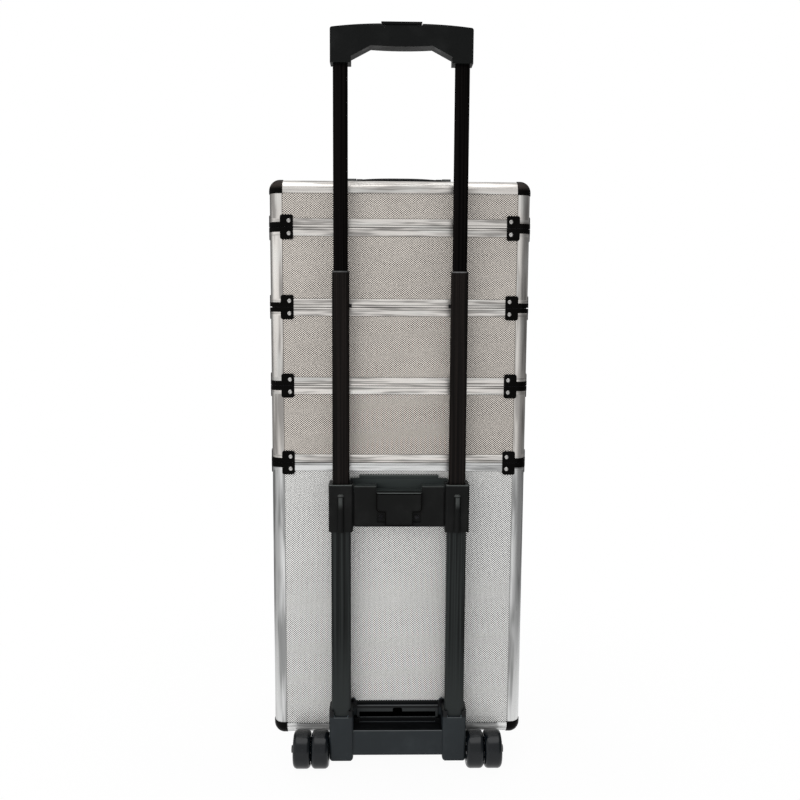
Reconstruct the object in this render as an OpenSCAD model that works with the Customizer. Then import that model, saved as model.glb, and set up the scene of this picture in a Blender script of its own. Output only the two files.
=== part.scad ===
// Rolling makeup case: a lid and four stacked shells on a trolley base with a telescopic handle.
// The handle side faces -Y. Each shell is an aluminium frame that holds five flat panels.

/* [Case] */
// Outer width of every shell
case_w = 343; // [335:1:350]
// Outer depth of every shell
case_d = 240; // [230:1:250]
// Height of the bottom case's underside over the floor
case_z = 37; // [36:0.5:40]
// Height of the bottom case
bottom_h = 386; // [380:1:395]
// Height of each of the three cases above it
tier_h = 104; // [100:1:110]
// Height of the lid
lid_h = 61; // [56:1:66]

/* [Frame profiles] */
// Height of each rail along a joint
rail_h = 11; // [10:0.5:12]
// Thickness of rails and posts, from the outside to the inside
rail_t = 7; // [6.5:0.5:8]
// Width of a corner post on each face
post_w = 17; // [16:0.5:18]
// Outer radius of posts and edge profiles
edge_r = 14; // [13:0.5:15]
// Thickness of the panels
panel_t = 4; // [3:0.5:4.5]
// How far the panels lie behind the rails
panel_inset = 1; // [0.5:0.1:1.5]
// Open line between the rails of two shells
joint_gap = 1; // [0.6:0.1:1.4]

/* [Corner brackets] */
// How far a bracket stands over the rails
bracket_t = 1.3; // [1:0.1:1.8]
// Height of a half bracket's band round the corner
band_h = 6.3; // [5:0.1:8]
// Height of a half bracket's plate
plate_h = 16; // [15:0.5:18]
// Head diameter of the rivets
rivet_d = 5; // [4:0.5:6]

/* [Handle] */
// Distance from the middle to each tube
tube_x = 77; // [74:1:80]
// Distance from the case's back to the tubes' middle
tube_back = 21; // [20:0.5:22]
// Distance from the joint over the bottom case down to the outer tubes' tops
tube_drop = 28; // [26:0.5:32]
// Height of the middle tubes' top over the floor
middle_top = 676; // [672:1:680]
// Height of the grip's top over the floor
grip_top = 982.5; // [978:0.5:986]
// Distance from a tube's middle to the end of the grip
grip_over = 12.5; // [11.5:0.5:13.5]
// Depth of the grip
grip_d = 22; // [20:0.5:24]
// How far the button stands over the grip
button_h = 1.9; // [1.5:0.1:2.5]

/* [Wheels and feet] */
// Diameter of the wheels
wheel_d = 51; // [48:1:52]
// Width of one wheel
wheel_w = 24; // [22:0.5:24]
// Diameter of the axles
axle_d = 8; // [7:0.5:8]
// Side of a front foot
foot_w = 32; // [28:1:36]

/* [Latches and carry handle] */
// How far the latches stand open at rest, in degrees
hasp_tilt = 13; // [10:1:15]
// Width of a hasp
hasp_w = 23; // [20:1:26]
// Outer width of the carry handle
bail_w = 118; // [110:1:124]
// Distance from the carry handle's pins to the middle of its grip
bail_l = 38; // [36:1:42]

/* [Hidden] */
$fn = 48;

alu = "#c9c9c6";
panel_grey = "#b4b4b2";
black = "#222426";
steel = "#b9bcc0";
eps = 0.01;

// Facets of the widest arcs
arc_fn = 400;

// Levels of the shells, counted up from the bottom case
level = [
    case_z,
    case_z + bottom_h,
    case_z + bottom_h + tier_h,
    case_z + bottom_h + 2 * tier_h,
    case_z + bottom_h + 3 * tier_h,
    case_z + bottom_h + 3 * tier_h + lid_h
];
half_w = case_w / 2;
half_d = case_d / 2;
half_gap = joint_gap / 2;

// Inner part of two rails that touches in the open line
seat_t = 2;

// The rim of a lower shell reaches into the shell above it
rim_t = 2.4;
rim_h = 5;
rim_gap = 0.6;
rim_foot = 9;
floor_up = 7;
groove_in = 5;
seam_up = 2.9;
seam_h = 0.5;
seam_t = 0.5;

// Half bracket: the plates start past the post's round part
plate_in = 14.5;
plate_w = 17;
plate_r = 3;
rivet_in = 26;
rivet_up = 8.2;
rivet_head = 1;
rivet_top = 0.6;
shank_d = 3;
shank_l = 0.8;
corner_w = 18;
corner_proud = 0.8;

// Latches, which sit in front of the case's middle, measured from the hasp's pin
latch_y = 38;
hinge_out = 5;
hinge_down = 16;
pin_d = 3;
knuckle_d = 6;
hasp_t = 1.5;
hasp_l = 33;
hook_z = 29;
hook_h = 2;
hook_in = 3;
plate_out = 1;
thumb_out = 2.6;
ledge_z = 24;
ledge_h = 4;
lug_w = 4;
latch_clear = 0.5;
pin_clear = 0.05;
strike_h = 12;
strike_up = 2;
base_h = 20;

// Tubes, one inside the other
outer_size = [26, 16];
middle_size = [22.4, 12.4];
inner_size = [18.9, 9];
outer_wall = 1.4;
tube_wall = 1.2;
tube_r = 4;
tube_flat = 0.5;
outer_top = level[1] - tube_drop;
outer_bottom = 55;
middle_in = 40;
middle_bottom = outer_top - middle_in;
inner_in = 50;
inner_bottom = middle_top - inner_in;
collar_h = 1.6;
collar_out = 0.3;
collar_in = 0.4;
pin_drop = 42.5;
pin_out = 3;
lock_d = 4.5;
way_in = 1.8;
way_w = 4;
way_clear = 1;
way_up = 14;

// Tube bracket, counted from the sleeves' tops
sleeve_w = 32;
sleeve_d = 33;
sleeve_r = 3;
sleeve_h = 63.5;
mouth_up = 4;
sleeve_top = outer_top + mouth_up;
sleeve_bottom = sleeve_top - sleeve_h;
mouth_clear = 0.5;
rib_drop = 16.5;
rib_top = sleeve_top - rib_drop;
rib_w = 9.4;
rib_sunk = 0.8;
web_in = 4;
web_t = 4;
web_drop = 2.5;
web_top = sleeve_top - web_drop;
web_foot = 6.5;
web_bottom = sleeve_bottom + web_foot;
groove_w = 2;
groove_d = 3;
back_up = 8;
back_top = sleeve_top + back_up;
back_plate_t = 4;
back_w = 107;
ear_up = 3.5;
ear_top = sleeve_top + ear_up;
ear_w = 130;
ear_t = 6;
pad_in = 3;
hollow_wall = 7;
hollow_h = 38;
notch = [60, 6.5];
tee_out = 3;
tee_drop = 10.5;
tee_top = sleeve_top - tee_drop;
tee_step_up = 26.7;
tee_step = sleeve_bottom + tee_step_up;
tee_foot = 8.7;
tee_bottom = sleeve_bottom + tee_foot;
tee_wide = 61;
tee_narrow = 37;
tee_cut = 4;
recess = [10.7, 14.6];
recess_in = 2.5;
recess_screw_d = 6;
recess_screw_h = 1.5;

// Trolley base
column_w = 32.5;
column_r = 4;
column_bottom = 15.5;
column_corner = 4.5;
column_top = 86.5;
scoop = [20, 8.8];
scoop_r = 3;
scoop_in = 8;
bar_bottom = 22.5;
bar_top = 57.8;
bar_in = 3;
bar_t = 5;
bar_hollow_h = 30;
base_plate_t = 5;
base_plate_w = 112;
base_plate_top = 82.4;
slot_z = 65.4;
slot_h = 7.5;
slot_in = 4;
slot_edge = 3;
arch = [13.2, 5.6];
ledge_top = 59.7;
ledge_w = 105;
ledge_out = 2.5;
lug_size = [6.8, 64.2];
boss_z = 86.5;
boss_in = 15.5;
boss_x = tube_x - boss_in;
boss_d = 9;
boss_t = 3;
boss_foot = 19;
screw_d = 3.5;
screw_head_d = 6;
screw_head_h = 1.6;
screw_head_up = 0.2;

// Wheels
axle_z = wheel_d / 2;
axle_back = 18.5;
axle_in = 2;
axle_cap = [10, 2.2];
wheel_gap = 0.8;
wheel_clear = 0.08;
tread_w = 12;
shoulder = (wheel_w - tread_w) / 2;
dish = [9, 6, 3];
inner_wheel_x = tube_x + column_w / 2 + wheel_gap;
outer_wheel_x = inner_wheel_x + wheel_w + wheel_gap;
axle_end = outer_wheel_x + wheel_w + wheel_gap;

// Grip, counted down from its top
grip_w = 2 * (tube_x + grip_over);
leg_drop = 48;
leg_bottom = grip_top - leg_drop;
leg_w = 26;
slope_drop = 40.3;
slope_z = grip_top - slope_drop;
slope_in = 25;
under_drop = 27.3;
under_z = grip_top - under_drop;
under_sag = 1.3;
sag_over = 1;
arch_rise = 5.2;
grip_r = 4;
corner_lift = 0.3;
grip_edge = 5;
socket = 16;
inner_top = leg_bottom + socket;

// Button in its notch across the grip, and the push bar under it
notch_drop = 4.2;
notch_z = grip_top - notch_drop;
button_top_w = 51.3;
button_low_w = 46;
button_side = 1.6;
button_d = 18;
press = 2.5;
skirt = [40, 14, 4];
skirt_clear = 0.6;
stem = [30, 8];
stem_clear = 0.5;
bar_drop = 20;
bar_z = grip_top - bar_drop;
push_bar = [3, 6, 4];
push_clear = 1;
rod_d = 4;
rod_clear = 1;
rod_up = 7;
rod_bottom = inner_bottom + rod_up;

// Front feet
foot_side = 50;
foot_front = 40;
foot_base = 6;
foot_step = 3;
foot_r = 6;
foot_neck_r = 5;

// Carry handle
bail_pin_z = 7;
bail_pin_d = 6;
bail_bar = [18, 15.5];
bail_r = 6;
bail_up = 2.5;
bail_arch = 600;
arm_w = 8;
arm_d = 9.5;
arm_low = 3.5;
arm_h = 8.5;
mount_w = 12;
mount_foot = [26, 4];
mount_eye = 11;
mount_gap = 0.5;
mount_wall = 2;

// The tallest things behind and in front set the middle of the footprint
back_reach = axle_back + wheel_d / 2;
y_shift = (back_reach - bracket_t) / 2;

// Puts a piece drawn round the case's middle into the part's own frame
module place() translate([0, y_shift, 0]) children();

// Children on both sides, mirrored
module both() {
    children();
    mirror([1, 0, 0]) children();
}

// Children at the four corners, mirrored
module four() {
    both() {
        children();
        mirror([0, 1, 0]) children();
    }
}

module rounded(w, d, r) {
    square([w - 2 * r, d], center = true);
    square([w, d - 2 * r], center = true);
    for (x = [-1, 1], y = [-1, 1])
        translate([x * (w / 2 - r), y * (d / 2 - r)]) circle(r);
}

module slab(w, d, r, z, h) translate([0, 0, z]) linear_extrude(h) rounded(w, d, r);

// Upright ring between two insets from the case's outline
module ring(z, h, outer, inner) {
    difference() {
        slab(case_w - 2 * outer, case_d - 2 * outer, edge_r - outer, z, h);
        slab(case_w - 2 * inner, case_d - 2 * inner, max(edge_r - inner, 1), z - 1, h + 2);
    }
}

// Four wall panels, which run into the grooves of the frame
module wall_panels(z, h) {
    long = case_w - 2 * post_w + 2 * groove_in;
    short = case_d - 2 * post_w + 2 * groove_in;
    for (s = [-1, 1]) {
        y = s * (half_d - panel_inset - panel_t / 2);
        translate([0, y, z + h / 2]) cube([long, panel_t, h], center = true);
        x = s * (half_w - panel_inset - panel_t / 2);
        translate([x, 0, z + h / 2]) cube([panel_t, short, h], center = true);
    }
}

// Parts of the corner columns between two levels
module corner_zone(z, h, w) four() translate([half_w - w, half_d - w, z]) cube([w + 3, w + 3, h]);

// Fine line round a rail
module seam(z) ring(z, seam_h, -1, seam_t);

// The rail above a joint: it starts over the open line and rests on its inner edge
module rail_over(z) {
    ring(z + half_gap, rail_h - half_gap, 0, rail_t);
    ring(z, half_gap + eps, rail_t - seat_t, rail_t);
}

// The rail below a joint, with the rim that centres the shell above
module rail_under(z) {
    ring(z - rail_h, rail_h - half_gap, 0, rail_t);
    ring(z - half_gap - eps, half_gap + eps, rail_t - seat_t, rail_t);
    ring(z - rim_foot, rim_foot, rail_t - eps, rail_t + rim_gap + rim_t);
    ring(z - eps, rim_h, rail_t + rim_gap, rail_t + rim_gap + rim_t);
}

module posts(z, h) {
    intersection() {
        ring(z, h, 0, rail_t);
        corner_zone(z, h, post_w);
    }
}

// One rivet, seen from outside: its head on the bracket and its shank in the rail
module rivet() {
    cylinder(d1 = rivet_d, d2 = rivet_d * rivet_top, h = rivet_head);
    translate([0, 0, -bracket_t - shank_l]) cylinder(d = shank_d, h = bracket_t + shank_l);
}

// Children set at the places of the rivets at one height
module rivet_places(z) {
    four() {
        translate([half_w - rivet_in, half_d + bracket_t, z]) rotate([-90, 0, 0]) children();
        translate([half_w + bracket_t, half_d - rivet_in, z]) rotate([0, 90, 0]) children();
    }
}

module shank_holes(z) rivet_places(z)
    translate([0, 0, -bracket_t - shank_l]) cylinder(d = shank_d, h = bracket_t + shank_l + 1);

// Plate of a half bracket on one face, with its far corners rounded. It lies below z = 0.
module bracket_plate() {
    translate([0, -plate_h]) {
        translate([plate_r, 0]) square([plate_w - 2 * plate_r, plate_h - half_gap]);
        translate([0, plate_r]) square([plate_w, plate_h - plate_r - half_gap]);
        translate([plate_r, plate_r]) circle(plate_r);
        translate([plate_w - plate_r, plate_r]) circle(plate_r);
    }
}

// Four half brackets at a joint; side = -1 lies below the joint, side = 1 above it
module half_brackets(z, side) {
    far = plate_in + plate_w;
    difference() {
        four() translate([0, 0, z]) scale([1, 1, -side]) {
            intersection() {
                ring(-band_h, band_h - half_gap, -bracket_t, 0);
                translate([half_w - plate_in - 1, half_d - plate_in - 1, -band_h])
                    cube([plate_in + 4, plate_in + 4, band_h]);
            }
            translate([half_w - far, half_d, 0]) rotate([90, 0, 0])
                translate([0, 0, -bracket_t]) linear_extrude(bracket_t) bracket_plate();
            translate([half_w, half_d - far, 0]) rotate([90, 0, 90])
                linear_extrude(bracket_t) bracket_plate();
        }
        shank_holes(z + side * rivet_up);
    }
}

// Solid with round upright edges and round top edges
module crown(w, d, h, r) {
    slab(w, d, r, 0, h - r);
    translate([-w / 2 + r, -d / 2 + r, 0]) cube([w - 2 * r, d - 2 * r, h]);
    for (s = [-1, 1]) {
        translate([-w / 2 + r, s * (d / 2 - r), h - r]) rotate([0, 90, 0]) cylinder(r = r, h = w - 2 * r);
        translate([s * (w / 2 - r), -d / 2 + r, h - r]) rotate([-90, 0, 0]) cylinder(r = r, h = d - 2 * r);
    }
    for (x = [-1, 1], y = [-1, 1])
        translate([x * (w / 2 - r), y * (d / 2 - r), h - r]) sphere(r);
}

// Space inside an edge profile of the lid or, upside down, of the bottom case
module crown_inside(h) {
    slab(case_w - 2 * rail_t, case_d - 2 * rail_t, edge_r - rail_t, -2, h - rail_t + 2);
    translate([0, 0, h - rail_t - 1])
        linear_extrude(rail_t + 3) square([case_w - 2 * post_w, case_d - 2 * post_w], center = true);
    translate([0, 0, h - panel_inset - panel_t / 2])
        cube([case_w - 2 * post_w + 2 * groove_in, case_d - 2 * post_w + 2 * groove_in, panel_t], center = true);
}

// Rounded edge profile without its corners, with its foot at z = 0
module edge_profile() {
    difference() {
        intersection() {
            crown(case_w, case_d, post_w, edge_r);
            translate([-case_w / 2, -case_d / 2, 0]) cube([case_w, case_d, post_w]);
        }
        crown_inside(post_w);
        corner_zone(post_w - corner_w, corner_w + 3, corner_w);
    }
}

// The four three-way corners of an edge profile
module edge_corners() {
    wide = case_w + 2 * corner_proud;
    deep = case_d + 2 * corner_proud;
    intersection() {
        difference() {
            translate([0, 0, post_w - corner_w]) crown(wide, deep, corner_w + corner_proud, edge_r + corner_proud);
            crown_inside(post_w);
            wall_panels(-groove_in, 2 * groove_in);
        }
        corner_zone(post_w - corner_w, corner_w + 3, corner_w);
    }
}

module flat_panel(z) translate([0, 0, z + panel_t / 2])
    cube([case_w - 2 * post_w + 2 * groove_in, case_d - 2 * post_w + 2 * groove_in, panel_t], center = true);

// Pieces of a shell that is open at the top, number n counted up from the bottom case
module tier_panels(n) {
    low = level[n] + rail_h - groove_in;
    high = level[n + 1] - rail_h + groove_in;
    color(panel_grey) place() wall_panels(low, high - low);
}

module tier_floor(n) color(black) place()
    slab(case_w - 2 * rail_t, case_d - 2 * rail_t, edge_r - rail_t, level[n] + floor_up, panel_t);

module tier_frame(n) {
    low = level[n];
    high = level[n + 1];
    color(alu) place() difference() {
        union() {
            rail_over(low);
            rail_under(high);
            posts(low + rail_h - eps, high - low - 2 * rail_h + 2 * eps);
        }
        wall_panels(low + rail_h - groove_in, high - low - 2 * rail_h + 2 * groove_in);
        seam(low + seam_up);
        seam(high - seam_up - seam_h);
        shank_holes(low + rivet_up);
        shank_holes(high - rivet_up);
    }
}

module tier_corners(n) color(black) place() {
    half_brackets(level[n], 1);
    half_brackets(level[n + 1], -1);
}

module tier_rivets(n) color(steel) place() {
    rivet_places(level[n] + rivet_up) rivet();
    rivet_places(level[n + 1] - rivet_up) rivet();
}

// Strike of a latch: a plate over the joint with a ledge that the hasp's hook holds
module strike(n) both() translate([half_w, latch_y, level[n] - hinge_down]) {
    translate([0, -hasp_w / 2, hinge_down + strike_up]) cube([hasp_t, hasp_w, strike_h]);
    translate([hasp_t - eps, -hasp_w / 2, ledge_z]) cube([hinge_out - hasp_t, hasp_w, ledge_h]);
}

// Base of a latch: a plate under the joint with two lugs and the pin between them
module latch_base(n) both() translate([half_w, latch_y, level[n] - hinge_down]) {
    wide = hasp_w + 2 * lug_w + 2 * latch_clear;
    translate([0, -wide / 2, -base_h / 2]) cube([hasp_t, wide, base_h]);
    for (s = [-1, 1]) {
        y = s * (wide - lug_w) / 2;
        translate([hinge_out, y + lug_w / 2, 0]) rotate([90, 0, 0]) cylinder(d = knuckle_d, h = lug_w);
        translate([hasp_t - eps, y - lug_w / 2, -knuckle_d / 2]) cube([hinge_out - hasp_t, lug_w, knuckle_d]);
    }
    translate([hinge_out, wide / 2, 0]) rotate([90, 0, 0]) cylinder(d = pin_d, h = wide);
}

// Hasp on the joint under shell n, right side, standing open at rest
module hasp_shape(n) translate([half_w + hinge_out, latch_y, level[n] - hinge_down])
    rotate([0, hasp_tilt, 0]) difference() {
        union() {
            translate([0, hasp_w / 2, 0]) rotate([90, 0, 0]) cylinder(d = knuckle_d, h = hasp_w);
            translate([plate_out, -hasp_w / 2, 0]) cube([hasp_t, hasp_w, hasp_l]);
            translate([-hook_in, -hasp_w / 2, hook_z]) cube([hook_in + plate_out + eps, hasp_w, hook_h]);
            translate([plate_out, -hasp_w / 2, hasp_l - eps]) cube([thumb_out, hasp_w, hasp_t]);
        }
        translate([0, hasp_w, 0]) rotate([90, 0, 0]) cylinder(d = pin_d + 2 * pin_clear, h = 2 * hasp_w);
    }

module right_hasp(n) color(steel) place() hasp_shape(n);
module left_hasp(n) color(steel) place() mirror([1, 0, 0]) hasp_shape(n);

module tier_latch_plates(n) color(steel) place() {
    strike(n);
    latch_base(n + 1);
}

// Lid
module lid_panels() {
    low = level[4] + rail_h - groove_in;
    high = level[5] - post_w + groove_in;
    color(panel_grey) place() wall_panels(low, high - low);
}

module lid_top() color(panel_grey) place() flat_panel(level[5] - panel_inset - panel_t);

module lid_frame() {
    low = level[4];
    high = level[5] - post_w;
    color(alu) place() difference() {
        union() {
            rail_over(low);
            posts(low + rail_h - eps, high - low - rail_h + 2 * eps);
            translate([0, 0, high]) edge_profile();
        }
        wall_panels(low + rail_h - groove_in, high - low - rail_h + 2 * groove_in);
        seam(low + seam_up);
        shank_holes(low + rivet_up);
        translate([0, 0, high]) corner_zone(post_w - corner_w, corner_w + 3, corner_w);
    }
}

module lid_corners() color(black) place() {
    half_brackets(level[4], 1);
    translate([0, 0, level[5] - post_w]) edge_corners();
}

module lid_rivets() color(steel) place() rivet_places(level[4] + rivet_up) rivet();

module lid_strikes() color(steel) place() strike(4);

// Bottom case
module bottom_case_panels() {
    low = level[0] + post_w - groove_in;
    high = level[1] - rail_h + groove_in;
    color(panel_grey) place() wall_panels(low, high - low);
}

module bottom_case_floor() color(black) place() flat_panel(level[0] + panel_inset);

module bottom_case_frame() {
    low = level[0] + post_w;
    high = level[1];
    color(alu) place() difference() {
        union() {
            rail_under(high);
            posts(low - eps, high - low - rail_h + 2 * eps);
            translate([0, 0, low]) mirror([0, 0, 1]) edge_profile();
        }
        wall_panels(low - groove_in, high - low - rail_h + 2 * groove_in);
        seam(high - seam_up - seam_h);
        shank_holes(high - rivet_up);
        translate([0, 0, low]) mirror([0, 0, 1]) corner_zone(post_w - corner_w, corner_w + 3, corner_w);
    }
}

module bottom_case_corners() color(black) place() {
    half_brackets(level[1], -1);
    translate([0, 0, level[0] + post_w]) mirror([0, 0, 1]) edge_corners();
}

module bottom_case_rivets() color(steel) place() rivet_places(level[1] - rivet_up) rivet();

module bottom_case_latch_plates() color(steel) place() latch_base(1);

// Telescopic handle
module at_tubes() both() translate([tube_x, -half_d - tube_back, 0]) children();

module tube_2d(size) rounded(size[0], size[1], min(tube_r, size[1] / 2 - tube_flat));

// Outline of a tube with room all round it
module round_tube_2d(size, room) tube_2d([size[0] + 2 * room, size[1] + 2 * room]);

// Two hollow tubes
module tubes(size, low, high, wall) at_tubes() translate([0, 0, low]) linear_extrude(high - low)
    difference() {
        tube_2d(size);
        rounded(size[0] - 2 * wall, size[1] - 2 * wall, tube_r - wall);
    }

// Way for the lock pins down the inner sides of the tops of the outer tubes
module pin_way() both()
    translate([tube_x - outer_size[0] / 2 - way_in, -half_d - tube_back, sleeve_bottom + way_up])
        translate([0, -lock_d / 2 - way_clear, 0]) cube([way_w, lock_d + 2 * way_clear, sleeve_top]);

module outer_tubes() color(black) place() difference() {
    tubes(outer_size, outer_bottom, outer_top, outer_wall);
    pin_way();
}

module middle_tubes() color(black) place() difference() {
    tubes(middle_size, middle_bottom, middle_top, tube_wall);
    lock_pin_shape();
}

module tube_collars() color(steel) place() at_tubes() translate([0, 0, middle_top])
    linear_extrude(collar_h) difference() {
        round_tube_2d(middle_size, collar_out);
        round_tube_2d(inner_size, collar_in);
    }

module lock_pin_shape() {
    reach = tube_x - middle_size[0] / 2 - pin_out;
    both() translate([reach, -half_d - tube_back, middle_top - pin_drop])
        rotate([0, 90, 0]) cylinder(d = lock_d, h = pin_out + tube_wall);
}

module lock_pins() color(steel) place() lock_pin_shape();

module inner_tubes() color(black) place() tubes(inner_size, inner_bottom, inner_top, tube_wall);

// Outline of the grip from behind: an arched top, two legs and a slightly sagging underside
module grip_2d() {
    arch_half = grip_w / 2 - grip_r;
    arch_r = (arch_half * arch_half + arch_rise * arch_rise) / (2 * arch_rise);
    corner_z = grip_top - arch_rise - grip_r + corner_lift;
    inside = grip_w / 2 - leg_w;
    flat = inside - slope_in;
    sag_half = flat + sag_over;
    sag_r = (sag_half * sag_half + under_sag * under_sag) / (2 * under_sag);
    difference() {
        intersection() {
            translate([-grip_w / 2, leg_bottom]) square([grip_w, grip_top - leg_bottom + 1]);
            translate([0, grip_top - arch_r]) circle(arch_r, $fn = arc_fn);
        }
        // Round upper corners
        both() difference() {
            translate([arch_half, corner_z]) square(2 * grip_r);
            translate([arch_half + corner_lift / 2, corner_z]) circle(grip_r);
        }
        difference() {
            polygon([
                [-inside, leg_bottom - 1],
                [-inside, slope_z],
                [-flat, under_z],
                [flat, under_z],
                [inside, slope_z],
                [inside, leg_bottom - 1]
            ]);
            intersection() {
                translate([-sag_half, under_z - 2 * under_sag]) square([2 * sag_half, 4 * under_sag]);
                translate([0, under_z - under_sag + sag_r]) circle(sag_r, $fn = arc_fn);
            }
        }
    }
}

// Button from behind, with room all round it, down to height z
module button_2d(room, z) {
    top = button_top_w / 2 + room;
    low = button_low_w / 2 + room;
    slope = (top - low) / (grip_top + button_h - notch_z);
    over = grip_top + button_h + room;
    polygon([
        [-low - slope * (z - notch_z), z],
        [low + slope * (z - notch_z), z],
        [low + slope * (over - notch_z), over],
        [-low - slope * (over - notch_z), over]
    ]);
}

module grip() color(black) place() translate([0, -half_d - tube_back, 0]) difference() {
    intersection() {
        translate([0, grip_d / 2, 0]) rotate([90, 0, 0]) linear_extrude(grip_d) grip_2d();
        // Round front and rear top edges
        edge_h = grip_top - leg_bottom + 2 * grip_edge;
        translate([-grip_w, 0, grip_top + corner_lift - edge_h]) rotate([90, 0, 90]) linear_extrude(2 * grip_w)
            upright_2d(grip_d, edge_h, grip_edge);
    }
    // Notch across the grip, with a pocket for the button's skirt and a way for its stem
    translate([0, grip_d, 0]) rotate([90, 0, 0]) linear_extrude(2 * grip_d) button_2d(button_side, notch_z);
    pocket_h = skirt[2] + press + skirt_clear;
    translate([-skirt[0] / 2 - skirt_clear, -skirt[1] / 2 - skirt_clear, notch_z - pocket_h])
        cube([skirt[0] + 2 * skirt_clear, skirt[1] + 2 * skirt_clear, pocket_h + 1]);
    translate([-stem[0] / 2 - stem_clear, -stem[1] / 2 - stem_clear, bar_z])
        cube([stem[0] + 2 * stem_clear, stem[1] + 2 * stem_clear, notch_z - bar_z]);
    // Room for the push bar
    translate([-tube_x - push_bar[0] - push_clear, -push_bar[1] / 2 - push_clear, bar_z - press - skirt_clear])
        cube([2 * (tube_x + push_bar[0] + push_clear), push_bar[1] + 2 * push_clear,
            push_bar[2] + press + skirt_clear + push_clear]);
    // Sockets of the inner tubes, and the rods' way up from them
    for (s = [-1, 1]) translate([s * tube_x, 0, leg_bottom - 1]) {
        linear_extrude(socket + 1) tube_2d(inner_size);
        cylinder(d = rod_d + 2 * rod_clear, h = bar_z - leg_bottom);
    }
}

module release_button() color(black) place() translate([0, -half_d - tube_back, 0]) {
    head_z = notch_z + press + skirt_clear;
    translate([0, button_d / 2, 0]) rotate([90, 0, 0]) linear_extrude(button_d) difference() {
        button_2d(0, head_z);
        translate([-button_top_w, grip_top + button_h]) square([2 * button_top_w, 1]);
    }
    translate([-skirt[0] / 2, -skirt[1] / 2, notch_z - skirt[2] + skirt_clear])
        cube([skirt[0], skirt[1], head_z - notch_z + skirt[2]]);
    translate([-stem[0] / 2, -stem[1] / 2, bar_z + push_bar[2]])
        cube([stem[0], stem[1], notch_z - bar_z - push_bar[2]]);
}

module push_rods() color(steel) place() translate([0, -half_d - tube_back, 0]) {
    translate([-tube_x - push_bar[0], -push_bar[1] / 2, bar_z])
        cube([2 * (tube_x + push_bar[0]), push_bar[1], push_bar[2]]);
    for (s = [-1, 1]) translate([s * tube_x, 0, rod_bottom]) cylinder(d = rod_d, h = bar_z - rod_bottom + 1);
}

// Raised T on the bracket's web, with its lower corners cut off
module tee_2d() polygon([
    [-tee_wide / 2, tee_top],
    [-tee_wide / 2, tee_step + tee_cut],
    [-tee_wide / 2 + tee_cut, tee_step],
    [-tee_narrow / 2, tee_step],
    [-tee_narrow / 2, tee_bottom],
    [tee_narrow / 2, tee_bottom],
    [tee_narrow / 2, tee_step],
    [tee_wide / 2 - tee_cut, tee_step],
    [tee_wide / 2, tee_step + tee_cut],
    [tee_wide / 2, tee_top]
]);

// Bracket that holds the outer tubes' tops on the bottom case
module tube_bracket() color(black) place() difference() {
    web_y = -half_d - sleeve_d + web_in;
    hollow = tube_x - sleeve_w / 2 - hollow_wall;
    union() {
        for (s = [-1, 1]) translate([s * tube_x, -half_d, 0]) {
            translate([0, -sleeve_d / 2, sleeve_bottom]) linear_extrude(sleeve_top - sleeve_bottom)
                rounded(sleeve_w, sleeve_d, sleeve_r);
            // Rib with a round top
            translate([0, -sleeve_d + rib_sunk, sleeve_bottom]) cylinder(d = rib_w, h = rib_top - sleeve_bottom);
            translate([0, -sleeve_d + rib_sunk, rib_top]) sphere(d = rib_w);
        }
        difference() {
            translate([-tube_x, web_y, web_bottom]) cube([2 * tube_x, sleeve_d - web_in, web_top - web_bottom]);
            translate([-notch[0] / 2, web_y - 1, web_top - notch[1]])
                cube([notch[0], sleeve_d - web_in - back_plate_t + 1, notch[1] + 1]);
        }
        // Pad that seats on the case's back panel
        translate([-tube_x - sleeve_w / 2 + pad_in, -half_d - eps, sleeve_bottom])
            cube([2 * tube_x + sleeve_w - 2 * pad_in, panel_inset + eps, sleeve_top - sleeve_bottom]);
        // Plate that stands up along the case's back, and the ears beside it
        translate([-back_w / 2, -half_d - back_plate_t, web_bottom])
            cube([back_w, back_plate_t + panel_inset, back_top - web_bottom]);
        translate([-ear_w / 2, -half_d - ear_t, web_bottom]) cube([ear_w, ear_t, ear_top - web_bottom]);
        translate([0, web_y + 1, 0]) rotate([90, 0, 0]) linear_extrude(tee_out + 1) tee_2d();
    }
    // Grooves beside the sleeves, and screw recesses beside the T's stem
    both() translate([tube_x - sleeve_w / 2 - groove_w, web_y - 1, web_bottom - 1])
        cube([groove_w, groove_d + 1, web_top - web_bottom + 2]);
    both() translate([tee_narrow / 2, web_y - 1, tee_step - recess[1]])
        cube([recess[0], recess_in + 1, recess[1]]);
    // Hollow on the case's side
    translate([-hollow, web_y + web_t, web_bottom + web_t])
        cube([2 * hollow, sleeve_d - web_in - web_t - back_plate_t, hollow_h]);
    at_tubes() translate([0, 0, sleeve_bottom - 1]) linear_extrude(outer_top - sleeve_bottom + 1)
        tube_2d(outer_size);
    at_tubes() translate([0, 0, outer_top - 1]) linear_extrude(sleeve_top - outer_top + 2)
        round_tube_2d(middle_size, mouth_clear);
    pin_way();
}

// Outline with an upright rectangle's corners rounded, its foot at z = 0
module upright_2d(w, h, r) translate([0, h / 2]) rounded(w, h, r);

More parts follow.
